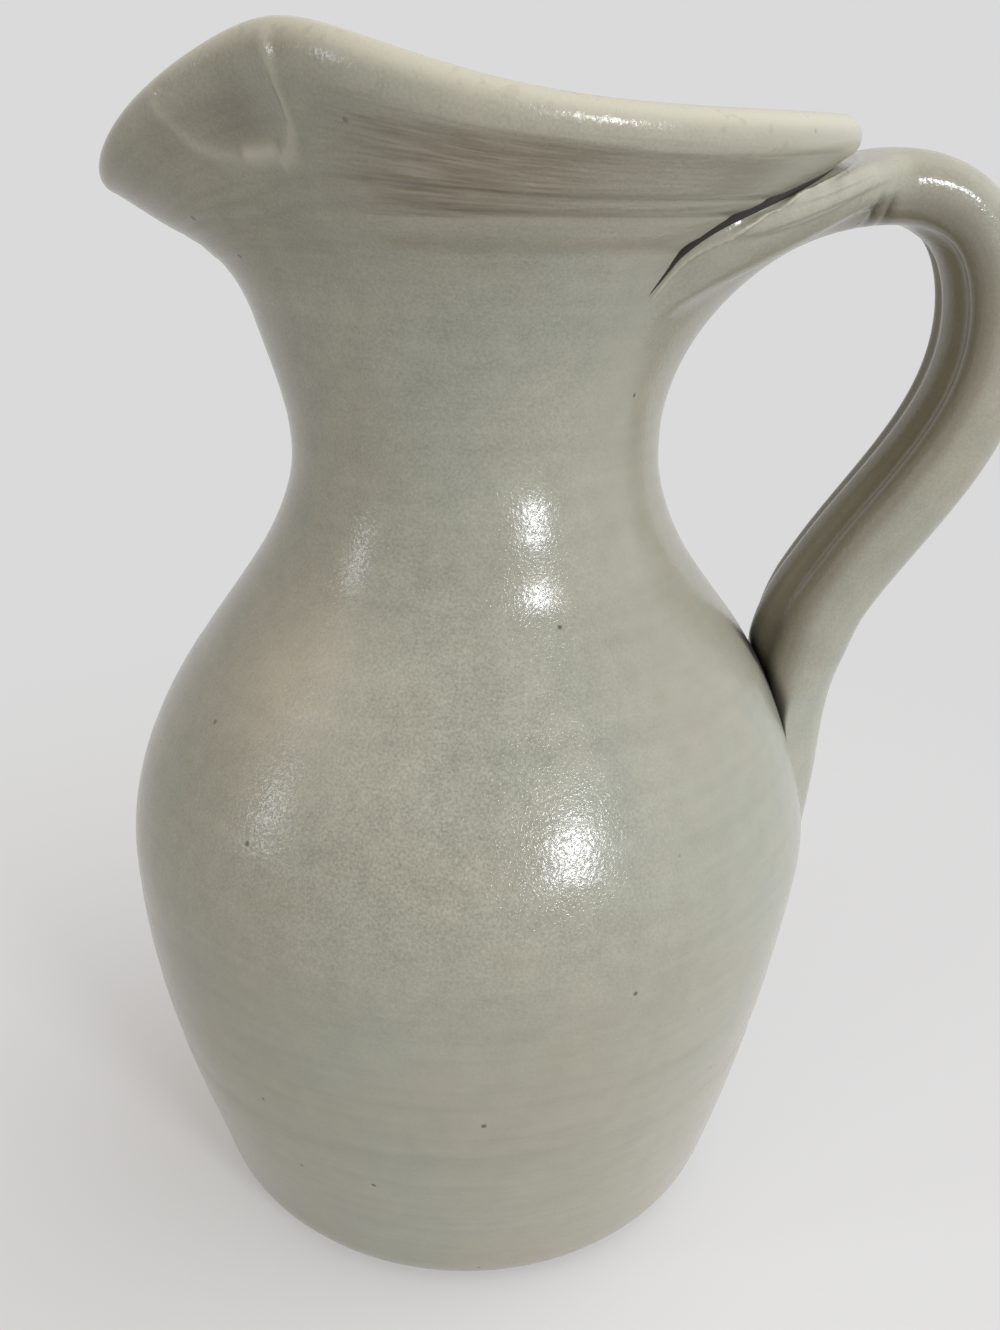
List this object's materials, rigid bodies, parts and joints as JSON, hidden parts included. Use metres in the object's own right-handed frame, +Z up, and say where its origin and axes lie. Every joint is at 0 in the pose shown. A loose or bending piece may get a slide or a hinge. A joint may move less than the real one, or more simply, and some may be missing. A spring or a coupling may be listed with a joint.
{
  "type": "stoneware pitcher",
  "caption": "Round-bellied salt-glazed stoneware pitcher with a narrow neck, flared lip, pulled pouring spout and pulled strap handle, for holding and pouring drinks.",
  "frame": {"origin": "centre of the flat foot, on the surface that the pitcher stands on", "axes": "+Z up along the axis of the thrown body, -X towards the spout, +X towards the handle"},
  "size_m": [0.1591, 0.1284, 0.2093],
  "materials": {
    "salt_glaze": "semi-gloss, orange peel",
    "salt_glaze_handle": "semi-gloss, orange peel",
    "luting_slip": "matte"
  },
  "bodies": {
    "root": {"thrown_body": "salt_glaze", "handle": "salt_glaze_handle", "upper_joint_slip": "luting_slip", "lower_joint_slip": "luting_slip"}
  },
  "joints": []
}
